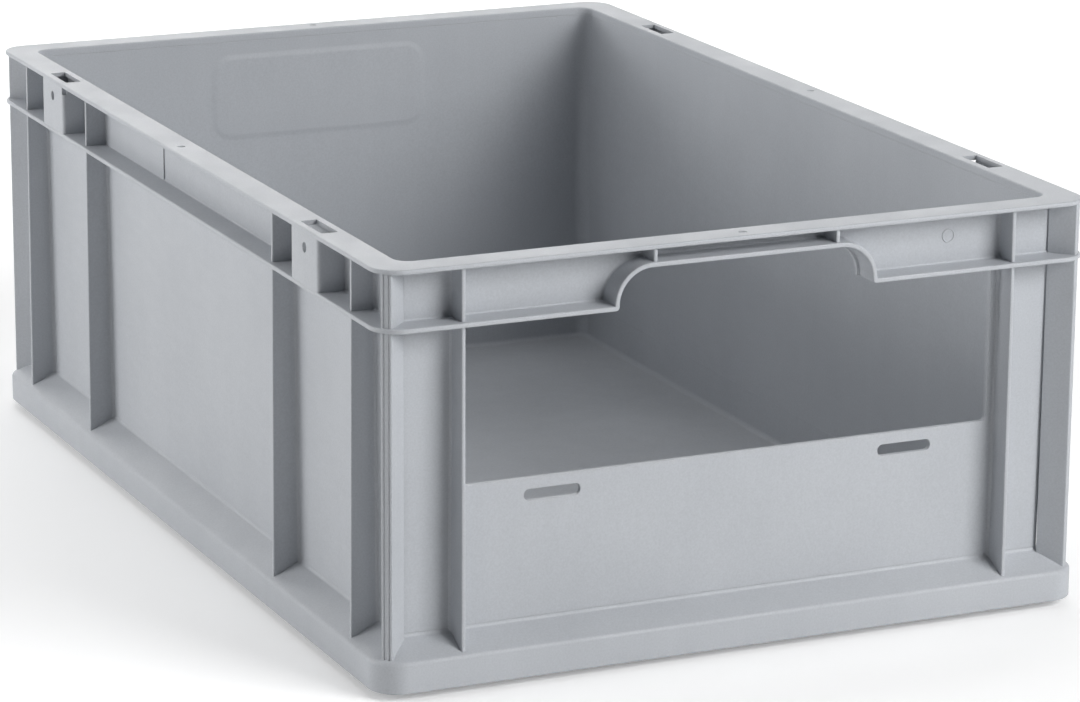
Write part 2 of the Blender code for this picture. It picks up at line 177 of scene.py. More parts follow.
# Planes and edges read from the frame
WALL_IN_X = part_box("wall_right")[0].x
WALL_OUT_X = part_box("wall_right")[1].x
WALL_IN_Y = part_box("wall_rear")[0].y
WALL_OUT_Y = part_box("wall_rear")[1].y
FLOOR_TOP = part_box("floor_panel")[1].z
SKIRT_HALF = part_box("base_skirt")[1].xy
SKIRT_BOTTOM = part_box("base_skirt")[0].z
SKIRT_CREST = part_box("base_skirt")[1].z
FOOT_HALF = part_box("stacking_foot")[1].xy
RIM_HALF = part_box("rim_flange")[1].xy
RIM_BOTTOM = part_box("rim_flange")[0].z
RIM_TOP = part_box("rim_flange")[1].z
RAIL_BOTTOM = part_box("rail_left")[0].z
RAIL_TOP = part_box("rail_left")[1].z
RIB_OUT_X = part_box("side_rib_right_front_1")[1].x
RIB_OUT_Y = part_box("end_rib_rear_right")[1].y
RIB_HALF = (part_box("end_rib_rear_right")[1].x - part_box("end_rib_rear_right")[0].x) / 2
SILL_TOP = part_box("front_sill")[1].z
OPENING_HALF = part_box("front_post_right")[0].x
ARCH_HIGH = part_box("grip_arch_front")[1].z
ARCH_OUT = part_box("grip_arch_front")[1].x
BAND = RAIL_TOP - RAIL_BOTTOM
ARCH_IN = ARCH_OUT - BAND
ARCH_LOW = ARCH_HIGH - BAND
RAIL_MIDDLE = RAIL_BOTTOM + BAND / 2
RIM_MIDDLE = (RIM_BOTTOM + RIM_TOP) / 2

# Shapes shared with the CAD that its boxes don't give
SKIRT_SHOULDER = 20 * MM
SKIRT_SLOPE = 0.5
UPRIGHT_START = SKIRT_SHOULDER - SKIRT_EDGE
INNER_RADIUS = 8 * MM
OUTER_WALL_RADIUS = 3 * MM
SKIRT_RADIUS = 16 * MM
RIM_RADIUS = 15 * MM
FOOT_RADIUS = 8 * MM
FOOT_WIDTH = 10 * MM
ARCH_CORNER = 18 * MM
FIN_HALF = 3 * MM
FIN_LENGTH = 13 * MM
FIN_ROOT = 2 * MM
FIN_GROOVE_PLACE = 1.35 * MM
FIN_GROOVE = 0.8 * MM
FIN_GROOVE_DEPTH = 0.4 * MM
SILL_SLOT = (31 * MM, 6 * MM)
SILL_SLOT_RADIUS = 2.8 * MM
SILL_SLOT_CENTRE = (100 * MM, 94 * MM)
RIM_SLOT = (9 * MM, 29 * MM)
RIM_SLOT_PLACE = 190.75 * MM
RIM_SLOT_RADIUS = 0.6 * MM
POCKET_SKIN = 2 * MM
POCKET_HOLE_RADIUS = 2.7 * MM
POCKET_HOLE_HEIGHT = 210 * MM


# ---------------------------------------------------------------- outlines


def arc(centre, radii, start, end, steps):
    """Points of an elliptic arc between two angles in degrees."""
    points = []
    for step in range(steps + 1):
        angle = math.radians(start + (end - start) * step / steps)
        x = centre[0] + radii[0] * math.cos(angle)
        y = centre[1] + radii[1] * math.sin(angle)
        points.append((x, y))
    return points


def rounded_rectangle(half_x, half_y, radius, steps=CORNER_STEPS, centre=(0.0, 0.0)):
    """Outline of a rectangle with four round corners, anticlockwise."""
    x, y = half_x - radius, half_y - radius
    outline = []
    for sign_x, sign_y, start in ((1, -1, -90), (1, 1, 0), (-1, 1, 90), (-1, -1, 180)):
        corner = (centre[0] + sign_x * x, centre[1] + sign_y * y)
        outline += arc(corner, (radius, radius), start, start + 90, steps)
    return outline


def fillet_outline(corners):
    """Outline through (x, y, radius) corners, with each corner rounded."""
    outline = []
    count = len(corners)
    for index, (x, y, radius) in enumerate(corners):
        here = Vector((x, y))
        before = (Vector(corners[index - 1][:2]) - here).normalized()
        after = (Vector(corners[(index + 1) % count][:2]) - here).normalized()
        if radius <= 0:
            outline.append((x, y))
            continue
        half_angle = before.angle(after) / 2
        reach = radius / math.tan(half_angle)
        middle = here + (before + after).normalized() * (radius / math.sin(half_angle))
        start = here + before * reach - middle
        turn = start.angle_signed(here + after * reach - middle)
        for step in range(EDGE_STEPS + 1):
            point = start.copy()
            point.rotate(Matrix.Rotation(-turn * step / EDGE_STEPS, 2))
            outline.append(tuple(middle + point))
    return outline


# ---------------------------------------------------------------- meshes


def new_object(name, shape):
    """An object made from a bmesh, with its normals turned outward."""
    bmesh.ops.recalc_face_normals(shape, faces=shape.faces)
    mesh = bpy.data.meshes.new(name)
    shape.to_mesh(mesh)
    shape.free()
    piece = bpy.data.objects.new(name, mesh)
    bpy.context.scene.collection.objects.link(piece)
    return piece


def loft(name, sections, closed):
    """Surface through rings of equal point count.

    A closed loft joins its last ring to its first. An open one is capped at both ends.
    """
    shape = bmesh.new()
    rings = [[shape.verts.new(point) for point in section] for section in sections]
    count = len(rings[0])
    pairs = list(zip(rings, rings[1:]))
    if closed:
        pairs.append((rings[-1], rings[0]))
    for first, second in pairs:
        for index in range(count):
            after = (index + 1) % count
            shape.faces.new((first[index], first[after], second[after], second[index]))
    if not closed:
        shape.faces.new(rings[0][::-1])
        shape.faces.new(rings[-1])
    return new_object(name, shape)


def level_ring(half_x, half_y, radius, height):
    """Rounded rectangle at one height."""
    return [(x, y, height) for x, y in rounded_rectangle(half_x, half_y, radius)]


def extrude(name, outline, low, high, axis="Z"):
    """Solid prism of a plan outline along an axis."""
    shape = bmesh.new()
    bottom = [shape.verts.new(placed(x, y, low, axis)) for x, y in outline]
    top = [shape.verts.new(placed(x, y, high, axis)) for x, y in outline]
    count = len(outline)
    for index in range(count):
        after = (index + 1) % count
        shape.faces.new((bottom[index], bottom[after], top[after], top[index]))
    shape.faces.new(bottom[::-1])
    shape.faces.new(top)
    return new_object(name, shape)


def placed(first, second, height, axis):
    """Point of an outline drawn in XY, YZ or XZ and raised along Z, X or Y."""
    if axis == "X":
        return (height, first, second)
    if axis == "Y":
        return (first, height, second)
    return (first, second, height)


def nodes_named(*prefixes):
    """Names of the CAD nodes that start with any of the prefixes, in order."""
    return [node for node in sorted(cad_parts) if node.startswith(prefixes)]


def apply_modifiers(piece):
    """Replace a piece's mesh by what its modifiers make of it."""
    bpy.context.view_layer.update()
    evaluated = piece.evaluated_get(bpy.context.evaluated_depsgraph_get())
    mesh = bpy.data.meshes.new_from_object(evaluated)
    piece.modifiers.clear()
    piece.data = mesh


def combine(piece, tools, operation):
    """Cut tools out of a piece, or join them to it, and remove the tools."""
    for tool in tools:
        join = piece.modifiers.new("combine", "BOOLEAN")
        join.operation = operation
        join.solver = "EXACT"
        join.object = tool
        apply_modifiers(piece)
        bpy.data.objects.remove(tool, do_unlink=True)


def shade(piece):
    """Smooth shading except at sharp edges, with large flat faces kept flat."""
    shape = bmesh.new()
    shape.from_mesh(piece.data)
    bmesh.ops.remove_doubles(shape, verts=shape.verts, dist=WELD_DISTANCE)
    for face in shape.faces:
        face.smooth = True
    for edge in shape.edges:
        edge.smooth = edge.calc_face_angle(0.0) < SHARP_ANGLE
    shape.to_mesh(piece.data)
    shape.free()
    weighted = piece.modifiers.new("weighted", "WEIGHTED_NORMAL")
    weighted.keep_sharp = True
    apply_modifiers(piece)


def present(piece, *nodes):
    """Finish a piece: shading, material, body and the CAD nodes it stands for."""
    shade(piece)
    piece.data.materials.clear()
    piece.data.materials.append(PLASTIC)
    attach(piece, BODY)
    if nodes:
        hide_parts(*nodes)


# ---------------------------------------------------------------- material


def link(tree, source, output, target, name):
    """Join two shader nodes by socket names."""
    tree.links.new(source.outputs[output], target.inputs[name])


def noise(tree, look, stretch):
    """Noise texture of a (features per metre, detail) look on stretched object coordinates."""
    source = tree.nodes.new("ShaderNodeTexCoord")
    mapping = tree.nodes.new("ShaderNodeMapping")
    mapping.inputs["Scale"].default_value = stretch
    link(tree, source, "Object", mapping, "Vector")
    texture = tree.nodes.new("ShaderNodeTexNoise")
    texture.inputs["Scale"].default_value = look[0]
    texture.inputs["Detail"].default_value = look[1]
    link(tree, mapping, "Vector", texture, "Vector")
    return texture


def value_range(tree, source, low, high):
    """Map a noise texture's middle span to a range."""
    node = tree.nodes.new("ShaderNodeMapRange")
    node.inputs["From Min"].default_value = NOISE_SPAN[0]
    node.inputs["From Max"].default_value = NOISE_SPAN[1]
    node.inputs["To Min"].default_value = low
    node.inputs["To Max"].default_value = high
    link(tree, source, "Fac", node, "Value")
    return node


def edge_mask(tree):
    """Mask and smoothed normal of edges: 0 on flats, towards 1 where the surface bends."""
    bevel = tree.nodes.new("ShaderNodeBevel")
    bevel.samples = EDGE_SAMPLES
    bevel.inputs["Radius"].default_value = EDGE_REACH
    geometry = tree.nodes.new("ShaderNodeNewGeometry")
    dot = tree.nodes.new("ShaderNodeVectorMath")
    dot.operation = "DOT_PRODUCT"
    link(tree, bevel, "Normal", dot, 0)
    link(tree, geometry, "Normal", dot, 1)
    mask = tree.nodes.new("ShaderNodeMapRange")
    mask.inputs["From Min"].default_value = EDGE_SPAN[0]
    mask.inputs["From Max"].default_value = EDGE_SPAN[1]
    link(tree, dot, "Value", mask, "Value")
    return mask, bevel


def arithmetic(tree, operation):
    """Math node of one operation."""
    node = tree.nodes.new("ShaderNodeMath")
    node.operation = operation
    return node


def bump(tree, look, source, under):
    """Bump of a (strength, distance) look from a noise, on top of another node's normal."""
    node = tree.nodes.new("ShaderNodeBump")
    node.inputs["Strength"].default_value = look[0]
    node.inputs["Distance"].default_value = look[1]
    link(tree, source, "Fac", node, "Height")
    link(tree, under, "Normal", node, "Normal")
    return node


def plastic_colour(tree, cloud, grain, mask):
    """Clouded and speckled grey, made lighter on edges by a painted highlight."""
    flow = noise(tree, FLOW_NOISE, FLOW_STRETCH)
    mixed = arithmetic(tree, "ADD")
    link(tree, value_range(tree, cloud, 0.0, CLOUD_SHARE), "Result", mixed, 0)
    link(tree, value_range(tree, flow, 0.0, 1.0 - CLOUD_SHARE), "Result", mixed, 1)
    colour = tree.nodes.new("ShaderNodeValToRGB")
    colour.color_ramp.elements[0].color = DARK_TONE
    colour.color_ramp.elements[1].color = LIGHT_TONE
    link(tree, mixed, "Value", colour, "Fac")
    speckle = value_range(tree, grain, 1.0 - SPECKLE, 1.0 + SPECKLE)
    toned = tree.nodes.new("ShaderNodeVectorMath")
    toned.operation = "SCALE"
    link(tree, colour, "Color", toned, 0)
    link(tree, speckle, "Result", toned, "Scale")
    strength = arithmetic(tree, "MULTIPLY")
    strength.inputs[1].default_value = EDGE_HIGHLIGHT
    link(tree, mask, "Result", strength, 0)
    # Painted highlight: edges mixed towards a lighter tone by the bevel mask
    highlighted = tree.nodes.new("ShaderNodeMix")
    highlighted.data_type = "RGBA"
    highlighted.inputs["B"].default_value = EDGE_HIGHLIGHT_TONE
    link(tree, strength, "Value", highlighted, "Factor")
    link(tree, toned, "Vector", highlighted, "A")
    return highlighted


def plastic_roughness(tree, mask):
    """Uneven roughness, a little lower on the edges."""
    scuff = noise(tree, SCUFF_NOISE, SCUFF_STRETCH)
    polish = arithmetic(tree, "MULTIPLY_ADD")
    polish.inputs[1].default_value = -EDGE_POLISH
    link(tree, mask, "Result", polish, 0)
    link(tree, value_range(tree, scuff, *ROUGHNESS), "Result", polish, 2)
    return polish


def moulded_plastic():
    """Matt grey polypropylene: fine grain, faint flow marks, smoother edges lightened by a
    painted highlight.
    """
    material = bpy.data.materials.new("moulded_polypropylene")
    material.use_nodes = True
    tree = material.node_tree
    shader = tree.nodes["Principled BSDF"]
    shader.inputs["Specular IOR Level"].default_value = SPECULAR
    shader.inputs["Sheen Weight"].default_value = SHEEN
    cloud = noise(tree, CLOUD_NOISE, EVEN)
    grain = noise(tree, GRAIN_NOISE, EVEN)
    mask, bevel = edge_mask(tree)
    link(tree, plastic_colour(tree, cloud, grain, mask), "Result", shader, "Base Color")
    link(tree, plastic_roughness(tree, mask), "Value", shader, "Roughness")
    waves = bump(tree, WAVE_BUMP, cloud, bevel)
    link(tree, bump(tree, GRAIN_BUMP, grain, waves), "Normal", shader, "Normal")
    return material


PLASTIC = moulded_plastic()


# ---------------------------------------------------------------- base, walls and rim


def draft(height):
    """How far the walls lean inward at a height; nothing under the rim, most at the skirt."""
    low, high = SKIRT_CREST, RIM_BOTTOM - SEAM_BELOW_RIM
    share = (high - height) / (high - low)
    return WALL_DRAFT * min(max(share, 0.0), 1.0)


def wall_rings(height):
    """Inner and outer ring of the wall at a height."""
    lean = draft(height)
    inner = level_ring(WALL_IN_X - lean, WALL_IN_Y - lean, INNER_RADIUS, height)
    outer = level_ring(WALL_OUT_X - lean, WALL_OUT_Y - lean, OUTER_WALL_RADIUS, height)
    return [inner, outer]


def skirt_profile():
    """Skirt as (distance outside the wall, height) from the wall down to the underside."""
    reach = SKIRT_HALF.x - WALL_OUT_X
    turn = 90 - math.degrees(math.atan(SKIRT_SLOPE))
    half_turn = math.tan(math.radians(turn) / 2)
    foot = SKIRT_SHOULDER + SKIRT_SLOPE * (reach + WALL_DRAFT)
    centre = (SKIRT_FILLET - WALL_DRAFT, foot + SKIRT_FILLET * half_turn)
    profile = arc(centre, (SKIRT_FILLET, SKIRT_FILLET), 180, 180 + turn, EDGE_STEPS + 2)
    centre = (reach - SKIRT_EDGE, SKIRT_SHOULDER - SKIRT_EDGE * half_turn)
    profile += arc(centre, (SKIRT_EDGE, SKIRT_EDGE), turn, 0, EDGE_STEPS + 2)
    centre = (reach - BOTTOM_EDGE, SKIRT_BOTTOM + BOTTOM_EDGE)
    profile += arc(centre, (BOTTOM_EDGE, BOTTOM_EDGE), 0, -90, EDGE_STEPS)
    return profile


def skirt_ring(out, height):
    """Ring at a distance outside the wall, rounder the farther out it is."""
    reach = SKIRT_HALF.x - WALL_OUT_X
    share = max(out / reach, 0.0)
    radius = OUTER_WALL_RADIUS + (SKIRT_RADIUS - OUTER_WALL_RADIUS) * share
    out_y = min(out, 0.0) + (SKIRT_HALF.y - WALL_OUT_Y) * share
    return level_ring(WALL_OUT_X + out, WALL_OUT_Y + out_y, radius, height)


def build_base():
    """Floor, skirt and stacking foot in one loft from the floor down to the underside."""
    lean = draft(0.0)
    sections = []
    for inset, rise in arc((0, 0), (FLOOR_FILLET, FLOOR_FILLET), 270, 360, CORNER_STEPS // 2):
        step = FLOOR_FILLET - inset + lean
        height = FLOOR_TOP + FLOOR_FILLET + rise
        radius = INNER_RADIUS - FLOOR_FILLET + inset
        sections.append(level_ring(WALL_IN_X - step, WALL_IN_Y - step, radius, height))
    sections.append(wall_rings(SKIRT_CREST)[0])
    sections += wall_rings(SKIRT_CREST + SEAM_ABOVE_CREST)
    sections += [skirt_ring(out, height) for out, height in skirt_profile()]
    foot_x, foot_y = FOOT_HALF
    sections.append(level_ring(foot_x, foot_y, FOOT_RADIUS, SKIRT_BOTTOM))
    for inset, rise in arc((0, 0), (BOTTOM_EDGE, BOTTOM_EDGE), 0, -90, EDGE_STEPS):
        out = BOTTOM_EDGE - inset
        sections.append(level_ring(foot_x - out, foot_y - out, FOOT_RADIUS, BOTTOM_EDGE + rise))
    inner_x, inner_y = foot_x - FOOT_WIDTH, foot_y - FOOT_WIDTH
    for inset, rise in arc((0, 0), (BOTTOM_EDGE, BOTTOM_EDGE), 270, 180, EDGE_STEPS):
        out = BOTTOM_EDGE + inset
        sections.append(level_ring(inner_x + out, inner_y + out, FOOT_RADIUS, BOTTOM_EDGE + rise))
    sections.append(level_ring(inner_x, inner_y, FOOT_RADIUS, SKIRT_BOTTOM))
    base = loft("moulded_base", sections, False)
    present(base, "floor_panel", "base_skirt", "stacking_foot")


def arch_path(offset):
    """Line of the grip arch from left to right, moved outward by offset."""
    corner = (ARCH_CORNER + offset, ARCH_LOW - RAIL_TOP + offset)
    middle = ARCH_IN - ARCH_CORNER
    path = arc((-middle, RAIL_TOP), corner, 180, 90, CURVE_STEPS)
    path += arc((middle, RAIL_TOP), corner, 90, 0, CURVE_STEPS)
    return path


def picking_cutter():
    """Opening of the front wall: a wide window with the grip's arch on top."""
    low, high = -WALL_OUT_Y - OVERRUN, -WALL_IN_Y + OVERRUN
    corner = (OPENING_CORNER, OPENING_CORNER)
    left = -OPENING_HALF + OPENING_CORNER
    outline = arc((left, SILL_TOP + OPENING_CORNER), corner, 180, 270, EDGE_STEPS)
    outline += arc((-left, SILL_TOP + OPENING_CORNER), corner, 270, 360, EDGE_STEPS)
    edge = ARCH_IN - WINDOW_LIP
    outline += [(OPENING_HALF, RAIL_MIDDLE), (edge, RAIL_MIDDLE)]
    outline += arch_path(-WINDOW_LIP)[::-1]
    outline += [(-edge, RAIL_MIDDLE), (-OPENING_HALF, RAIL_MIDDLE)]
    return extrude("picking_cutter", outline, low, high, "Y")


def sill_cutters():
    """The two slots in the sill."""
    half_x, half_z = SILL_SLOT[0] / 2, SILL_SLOT[1] / 2
    low, high = -WALL_OUT_Y - OVERRUN, -WALL_IN_Y + OVERRUN
    tools = []
    for sign in (-1, 1):
        centre = (sign * SILL_SLOT_CENTRE[0], SILL_SLOT_CENTRE[1])
        outline = rounded_rectangle(half_x, half_z, SILL_SLOT_RADIUS, CORNER_STEPS, centre)
        tools.append(extrude("slot_cutter", outline, low, high, "Y"))
    return tools


def bulge(name, start, depth):
    """Pillow with gently sloping sides behind the rear grip, from the wall surface inward."""
    low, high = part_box("grip_cup")
    centre = ((low.x + high.x) / 2, (low.z + high.z) / 2)
    half_x = (high.x - low.x) / 2 + BULGE_MARGIN
    half_z = (high.z - low.z) / 2 + BULGE_MARGIN
    ring = rounded_rectangle(half_x, half_z, BULGE_RADIUS, CORNER_STEPS, centre)
    sections = [[(x, start - draft(z) + BULGE_OVERLAP, z) for x, z in ring]]
    for step in range(BULGE_STEPS + 1):
        share = step / BULGE_STEPS
        inset = BULGE_SLOPE * share
        rise = depth * (3 * share**2 - 2 * share**3)
        radius = BULGE_RADIUS - inset
        ring = rounded_rectangle(half_x - inset, half_z - inset, radius, CORNER_STEPS, centre)
        sections.append([(x, start - draft(z) - rise, z) for x, z in ring])
    return loft(name, sections, False)


def build_label_fields():
    """Slightly raised field on the rear half of the upper band of each long wall."""
    rib_low, rib_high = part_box("side_rib_left_rear_1")
    near, far = sorted(((rib_low.y + rib_high.y) / 2, LABEL_START))
    bottom = RAIL_BOTTOM + LABEL_OVERLAP[0]
    top = RIM_BOTTOM + LABEL_OVERLAP[1]
    outline = [(near, bottom), (far, bottom), (far, top), (near, top)]
    for number, sign in ((1, -1), (2, 1)):
        inside = sign * (WALL_OUT_X - LABEL_BURY)
        outside = sign * (WALL_OUT_X + LABEL_STEP)
        low, high = sorted((inside, outside))
        present(extrude(f"label_field_{number}", outline, low, high, "X"))


def build_walls():
    """Wall band between base and rim, with its openings and the rear bulge."""
    bottom = SKIRT_CREST + SEAM_ABOVE_CREST
    top = RIM_BOTTOM - SEAM_BELOW_RIM
    sections = wall_rings(bottom) + wall_rings(top)[::-1]
    walls = loft("moulded_walls", sections, True)
    combine(walls, [bulge("bulge", WALL_IN_Y, BULGE_DEPTH)], "UNION")
    combine(walls, [bulge("recess", WALL_OUT_Y, BULGE_DEPTH)], "DIFFERENCE")
    combine(walls, [picking_cutter()] + sill_cutters(), "DIFFERENCE")
    present(
        walls, "wall_left", "wall_right", "wall_rear", "grip_cup", "front_sill",
        "front_post_left", "front_post_right", "front_header",
        "corner_wall_front_left", "corner_wall_front_right",
        "corner_wall_rear_left", "corner_wall_rear_right",
    )


def rim_slot_cutters():
    """Slot through the rim above each latch pocket."""
    half_x, half_y = RIM_SLOT[0] / 2, RIM_SLOT[1] / 2
    tools = []
    for sign in (-1, 1):
        for node in ("latch_pocket_front_left", "latch_pocket_rear_left"):
            low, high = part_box(node)
            centre = (sign * RIM_SLOT_PLACE, (low.y + high.y) / 2)
            outline = rounded_rectangle(half_x, half_y, RIM_SLOT_RADIUS, EDGE_STEPS, centre)
            tools.append(extrude("rim_slot", outline, RIM_BOTTOM - OVERRUN, RIM_TOP + OVERRUN))
    return tools


def dimple_cutters():
    """Shallow round dimple in the middle of each side of the rim."""
    tools = []
    side_x = (WALL_OUT_X + RIM_HALF.x) / 2
    end_y = (WALL_OUT_Y + RIM_HALF.y) / 2
    for x, y in ((-side_x, 0), (side_x, 0), (0, -end_y), (0, end_y)):
        rings = []
        for radius, height in ((1.0, 1.0), (1.0, -0.6), (0.6, -1.0)):
            circle = arc((x, y), (radius * DIMPLE_RADIUS,) * 2, 0, 360, HOLE_STEPS)[:-1]
            rings.append([(px, py, RIM_TOP + height * DIMPLE_DEPTH) for px, py in circle])
        tools.append(loft("dimple", rings, False))
    return tools


def build_rim():
    """Flat rim with rounded edges, and the top of the wall under it."""
    seam = RIM_BOTTOM - SEAM_BELOW_RIM
    sections = [
        level_ring(WALL_IN_X, WALL_IN_Y, INNER_RADIUS, seam),
        level_ring(WALL_OUT_X, WALL_OUT_Y, OUTER_WALL_RADIUS, seam),
    ]
    fillet = RIM_ROOT_FILLET
    for inset, rise in arc((0, 0), (fillet, fillet), 180, 90, EDGE_STEPS):
        out = fillet + inset
        height = RIM_BOTTOM - fillet + rise
        radius = OUTER_WALL_RADIUS + out
        sections.append(level_ring(WALL_OUT_X + out, WALL_OUT_Y + out, radius, height))
    for start, end, height in ((-90, 0, RIM_BOTTOM + RIM_EDGE), (0, 90, RIM_TOP - RIM_EDGE)):
        for inset, rise in arc((0, 0), (RIM_EDGE, RIM_EDGE), start, end, EDGE_STEPS + 1):
            inside = RIM_EDGE - inset
            half_x, half_y = RIM_HALF.x - inside, RIM_HALF.y - inside
            sections.append(level_ring(half_x, half_y, RIM_RADIUS - inside, height + rise))
    for inset, rise in arc((0, 0), (RIM_EDGE, RIM_EDGE), 90, 180, EDGE_STEPS):
        out = RIM_EDGE + inset
        height = RIM_TOP - RIM_EDGE + rise
        sections.append(level_ring(WALL_IN_X + out, WALL_IN_Y + out, INNER_RADIUS + out, height))
    rim = loft("moulded_rim", sections, True)
    combine(rim, rim_slot_cutters() + dimple_cutters(), "DIFFERENCE")
    present(rim, "rim_flange")


# ---------------------------------------------------------------- rail with its grips


def grip_line(half, height, radius, offset):
    """Lower or upper line of the rail where it turns up into the grip arch."""
    turn = (radius, radius)
    line = arc((-half - radius, height + radius), turn, -90, 0, EDGE_STEPS)
    line += arch_path(offset)[1:-1]
    return line + arc((half + radius, height + radius), turn, 180, 270, EDGE_STEPS)


def corner_stations(sign_x, sign_y, start):
    """Stations round one corner of the crate, from a start angle in degrees."""
    radius = (RIM_RADIUS, RIM_RADIUS)
    centre = (sign_x * (RIM_HALF.x - RIM_RADIUS), sign_y * (RIM_HALF.y - RIM_RADIUS))
    outer = arc(centre, radius, start, start + 90, CORNER_STEPS)
    radius = (OUTER_WALL_RADIUS, OUTER_WALL_RADIUS)
    reach = OUTER_WALL_RADIUS + BURY
    centre = (sign_x * (WALL_OUT_X - reach), sign_y * (WALL_OUT_Y - reach))
    inner = arc(centre, radius, start, start + 90, CORNER_STEPS)
    stations = []
    for inside, outside in zip(inner, outer):
        stations.append((
            (*inside, RAIL_BOTTOM), (*inside, RAIL_TOP),
            (*outside, RAIL_BOTTOM), (*outside, RAIL_TOP),
        ))
    return stations


def rail_stations():
    """Stations round the crate: inner and outer plan points with low and high heights."""
    stations = []
    inner = WALL_OUT_Y - BURY
    for sign_y in (-1, 1):
        low_path = grip_line(ARCH_IN, RAIL_BOTTOM, ARCH_FOOT[0], 0.0)
        high_path = grip_line(ARCH_OUT, RAIL_TOP, ARCH_FOOT[1], BAND)
        if sign_y > 0:
            low_path.reverse()
            high_path.reverse()
        for low, high in zip(low_path, high_path):
            stations.append((
                (low[0], sign_y * inner, low[1]), (high[0], sign_y * inner, high[1]),
                (low[0], sign_y * RIM_HALF.y, low[1]), (high[0], sign_y * RIM_HALF.y, high[1]),
            ))
        first = -90 if sign_y < 0 else 90
        for corner_y, start in ((sign_y, first), (-sign_y, first + 90)):
            stations += corner_stations(-sign_y, corner_y, start)
    return stations


def rail_section(station):
    """Cross-section of the rail at a station, with round outer edges and a root fillet."""
    in_low, in_high, out_low, out_high = [Vector(point) for point in station]
    depth = (out_low - in_low).length
    band = (out_high - out_low).length
    profile = [(0.0, 0.0)]
    share_depth, share_band = RAIL_EDGE / depth, RAIL_EDGE / band
    for start, level in ((-90, share_band), (0, 1 - share_band)):
        corner = (1 - share_depth, level)
        profile += arc(corner, (share_depth, share_band), start, start + 90, EDGE_STEPS)
    foot = (BURY / depth, RAIL_FILLET / depth, RAIL_FILLET / band)
    profile += arc((foot[0] + foot[1], 1 + foot[2]), foot[1:], 270, 180, EDGE_STEPS)
    profile += [(0.0, 1 + foot[2])]
    points = []
    for along, up in profile:
        low = in_low.lerp(out_low, along)
        high = in_high.lerp(out_high, along)
        points.append(tuple(low + (high - low) * up))
    return points


def build_rail():
    """Rail round the crate that rises into the grip arch on both short sides."""
    sections = [rail_section(station) for station in rail_stations()]
    rail = loft("moulded_rail", sections, True)
    present(rail, "rail_left", "rail_right", "grip_arch_front", "grip_arch_rear")


# ---------------------------------------------------------------- ribs, fins, pockets


def rib_plan(depth, half, lean=0.0):
    """Plan of a rib along +X, flared at its root on a wall that leans in by lean."""
    flare = half + RIB_FILLET
    plan = [(-lean - BURY, -flare), (-lean, -flare)]
    fillet = (RIB_FILLET, RIB_FILLET)
    plan += arc((RIB_FILLET - lean, -flare), fillet, 180, 90, EDGE_STEPS)[1:]
    edge = (RIB_EDGE, RIB_EDGE)
    plan += arc((depth - RIB_EDGE, -half + RIB_EDGE), edge, -90, 0, EDGE_STEPS)
    plan += arc((depth - RIB_EDGE, half - RIB_EDGE), edge, 0, 90, EDGE_STEPS)
    plan += arc((RIB_FILLET - lean, flare), fillet, 270, 180, EDGE_STEPS)
    plan += [(-lean - BURY, flare)]
    return plan


def upright(name, plans, origin, direction, heights, node):
    """A rib or fin between two plans, turned to a direction at a point on the wall."""
    turn = Matrix.Rotation(math.radians(direction), 2)
    sections = []
    for plan, height in zip(plans, heights):
        outline = [Vector(origin) + turn @ Vector(point) for point in plan]
        sections.append([(point.x, point.y, height) for point in outline])
    present(loft(name, sections, False), node)


def build_ribs():
    """All upright ribs, each where its CAD rib stands."""
    heights = (UPRIGHT_START, RIM_MIDDLE)
    for node in nodes_named("side_rib", "end_rib"):
        low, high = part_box(node)
        if node.startswith("side_rib"):
            sign = 1 if high.x > 0 else -1
            origin = (sign * WALL_OUT_X, (low.y + high.y) / 2)
            depth = RIB_OUT_X - WALL_OUT_X
            direction = 0 if sign > 0 else 180
        else:
            sign = 1 if high.y > 0 else -1
            origin = ((low.x + high.x) / 2, sign * WALL_OUT_Y)
            depth = RIB_OUT_Y - WALL_OUT_Y
            direction = 90 * sign
        plans = (rib_plan(depth + RIB_FLARE, RIB_HALF, WALL_DRAFT), rib_plan(depth, RIB_HALF))
        upright("moulded_" + node, plans, origin, direction, heights, node)


def fin_plan():
    """Plan of a corner fin along +X, with two grooves down its outer face."""
    half, end = FIN_HALF, FIN_LENGTH
    edge = (RIB_EDGE, RIB_EDGE)
    plan = [(-FIN_ROOT, -half)]
    plan += arc((end - RIB_EDGE, -half + RIB_EDGE), edge, -90, 0, EDGE_STEPS)
    for place in (-FIN_GROOVE_PLACE, FIN_GROOVE_PLACE):
        bed = end - FIN_GROOVE_DEPTH
        plan += [(end, place - FIN_GROOVE / 2), (bed, place - FIN_GROOVE / 6)]
        plan += [(bed, place + FIN_GROOVE / 6), (end, place + FIN_GROOVE / 2)]
    plan += arc((end - RIB_EDGE, half - RIB_EDGE), edge, 0, 90, EDGE_STEPS)
    plan += [(-FIN_ROOT, half)]
    return plan


def build_fins():
    """Diagonal fin at each corner."""
    heights = (UPRIGHT_START, RIM_MIDDLE)
    corners = {
        "front_left": (-1, -1, 225), "front_right": (1, -1, 315),
        "rear_left": (-1, 1, 135), "rear_right": (1, 1, 45),
    }
    for place, (sign_x, sign_y, direction) in corners.items():
        origin = (sign_x * WALL_OUT_X, sign_y * WALL_OUT_Y)
        node = "corner_fin_" + place
        plan = fin_plan()
        upright("moulded_" + node, (plan, plan), origin, direction, heights, node)


